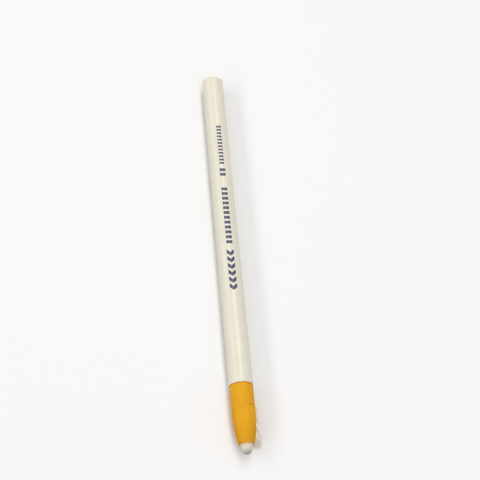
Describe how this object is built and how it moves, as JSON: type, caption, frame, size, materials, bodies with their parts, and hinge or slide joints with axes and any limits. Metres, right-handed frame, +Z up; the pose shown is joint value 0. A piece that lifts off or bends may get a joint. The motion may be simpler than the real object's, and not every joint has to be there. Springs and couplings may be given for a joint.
{
  "type": "china marker",
  "caption": "Peel-off china marker: a wax lead in a wound paper casing that comes off strip by strip, with a white covered barrel, a ground bare-paper tip and a pull string.",
  "frame": {"origin": "on the surface that the marker lies on, under the middle of its length and under its axis", "axes": "+X along the marker towards its writing end, +Z up, +Y to the side where the string comes out"},
  "size_m": [0.179, 0.0106, 0.0096],
  "materials": {
    "wax": "extruded white wax",
    "wound_paper": "orange kraft paper wound in plies, ground at the tip",
    "coated_paper": "white satin coated outer ply",
    "string": "twisted cotton string"
  },
  "bodies": {
    "lead": {"wax_lead": "wax", "peel_strip_16": "wound_paper", "white_cover_16": "coated_paper"},
    "strip_15": {"peel_strip_15": "wound_paper", "white_cover_15": "coated_paper"},
    "strip_14": {"peel_strip_14": "wound_paper", "white_cover_14": "coated_paper"},
    "strip_13": {"peel_strip_13": "wound_paper", "white_cover_13": "coated_paper"},
    "strip_12": {"peel_strip_12": "wound_paper", "white_cover_12": "coated_paper"},
    "strip_11": {"peel_strip_11": "wound_paper", "white_cover_11": "coated_paper"},
    "strip_10": {"peel_strip_10": "wound_paper", "white_cover_10": "coated_paper"},
    "strip_09": {"peel_strip_09": "wound_paper", "white_cover_09": "coated_paper"},
    "strip_08": {"peel_strip_08": "wound_paper", "white_cover_08": "coated_paper"},
    "strip_07": {"peel_strip_07": "wound_paper", "white_cover_07": "coated_paper"},
    "strip_06": {"peel_strip_06": "wound_paper", "white_cover_06": "coated_paper"},
    "strip_05": {"peel_strip_05": "wound_paper", "white_cover_05": "coated_paper"},
    "strip_04": {"peel_strip_04": "wound_paper", "white_cover_04": "coated_paper"},
    "strip_03": {"peel_strip_03": "wound_paper", "white_cover_03": "coated_paper"},
    "strip_02": {"peel_strip_02": "wound_paper", "white_cover_02": "coated_paper"},
    "strip_01": {"peel_strip_01": "wound_paper", "white_cover_01": "coated_paper"},
    "bare_strip": {"bare_strip": "wound_paper", "pull_string": "string"},
    "tip_strip": {"tip_strip": "wound_paper"},
    "string_tail": {"string_tail": "string"}
  },
  "joints": [
    {"name": "strip_15_pull", "type": "slide", "parent": "lead", "child": "strip_15", "axis": [1, 0, 0], "range_m": [0, 0.0136]},
    {"name": "strip_14_pull", "type": "slide", "parent": "strip_15", "child": "strip_14", "axis": [1, 0, 0], "range_m": [0, 0.0136]},
    {"name": "strip_13_pull", "type": "slide", "parent": "strip_14", "child": "strip_13", "axis": [1, 0, 0], "range_m": [0, 0.0136]},
    {"name": "strip_12_pull", "type": "slide", "parent": "strip_13", "child": "strip_12", "axis": [1, 0, 0], "range_m": [0, 0.0136]},
    {"name": "strip_11_pull", "type": "slide", "parent": "strip_12", "child": "strip_11", "axis": [1, 0, 0], "range_m": [0, 0.0136]},
    {"name": "strip_10_pull", "type": "slide", "parent": "strip_11", "child": "strip_10", "axis": [1, 0, 0], "range_m": [0, 0.0136]},
    {"name": "strip_09_pull", "type": "slide", "parent": "strip_10", "child": "strip_09", "axis": [1, 0, 0], "range_m": [0, 0.0136]},
    {"name": "strip_08_pull", "type": "slide", "parent": "strip_09", "child": "strip_08", "axis": [1, 0, 0], "range_m": [0, 0.0136]},
    {"name": "strip_07_pull", "type": "slide", "parent": "strip_08", "child": "strip_07", "axis": [1, 0, 0], "range_m": [0, 0.0136]},
    {"name": "strip_06_pull", "type": "slide", "parent": "strip_07", "child": "strip_06", "axis": [1, 0, 0], "range_m": [0, 0.0136]},
    {"name": "strip_05_pull", "type": "slide", "parent": "strip_06", "child": "strip_05", "axis": [1, 0, 0], "range_m": [0, 0.0136]},
    {"name": "strip_04_pull", "type": "slide", "parent": "strip_05", "child": "strip_04", "axis": [1, 0, 0], "range_m": [0, 0.0136]},
    {"name": "strip_03_pull", "type": "slide", "parent": "strip_04", "child": "strip_03", "axis": [1, 0, 0], "range_m": [0, 0.0136]},
    {"name": "strip_02_pull", "type": "slide", "parent": "strip_03", "child": "strip_02", "axis": [1, 0, 0], "range_m": [0, 0.0136]},
    {"name": "strip_01_pull", "type": "slide", "parent": "strip_02", "child": "strip_01", "axis": [1, 0, 0], "range_m": [0, 0.0136]},
    {"name": "bare_strip_pull", "type": "slide", "parent": "strip_01", "child": "bare_strip", "axis": [1, 0, 0], "range_m": [0, 0.0126]},
    {"name": "tip_strip_pull", "type": "slide", "parent": "bare_strip", "child": "tip_strip", "axis": [1, 0, 0], "range_m": [0, 0.019]},
    {"name": "string_swing", "type": "hinge", "parent": "bare_strip", "child": "string_tail", "pos_m": [0.071, 0.00517, 0.0048], "axis": [0, 0, 1], "range_deg": [0, 160]}
  ]
}
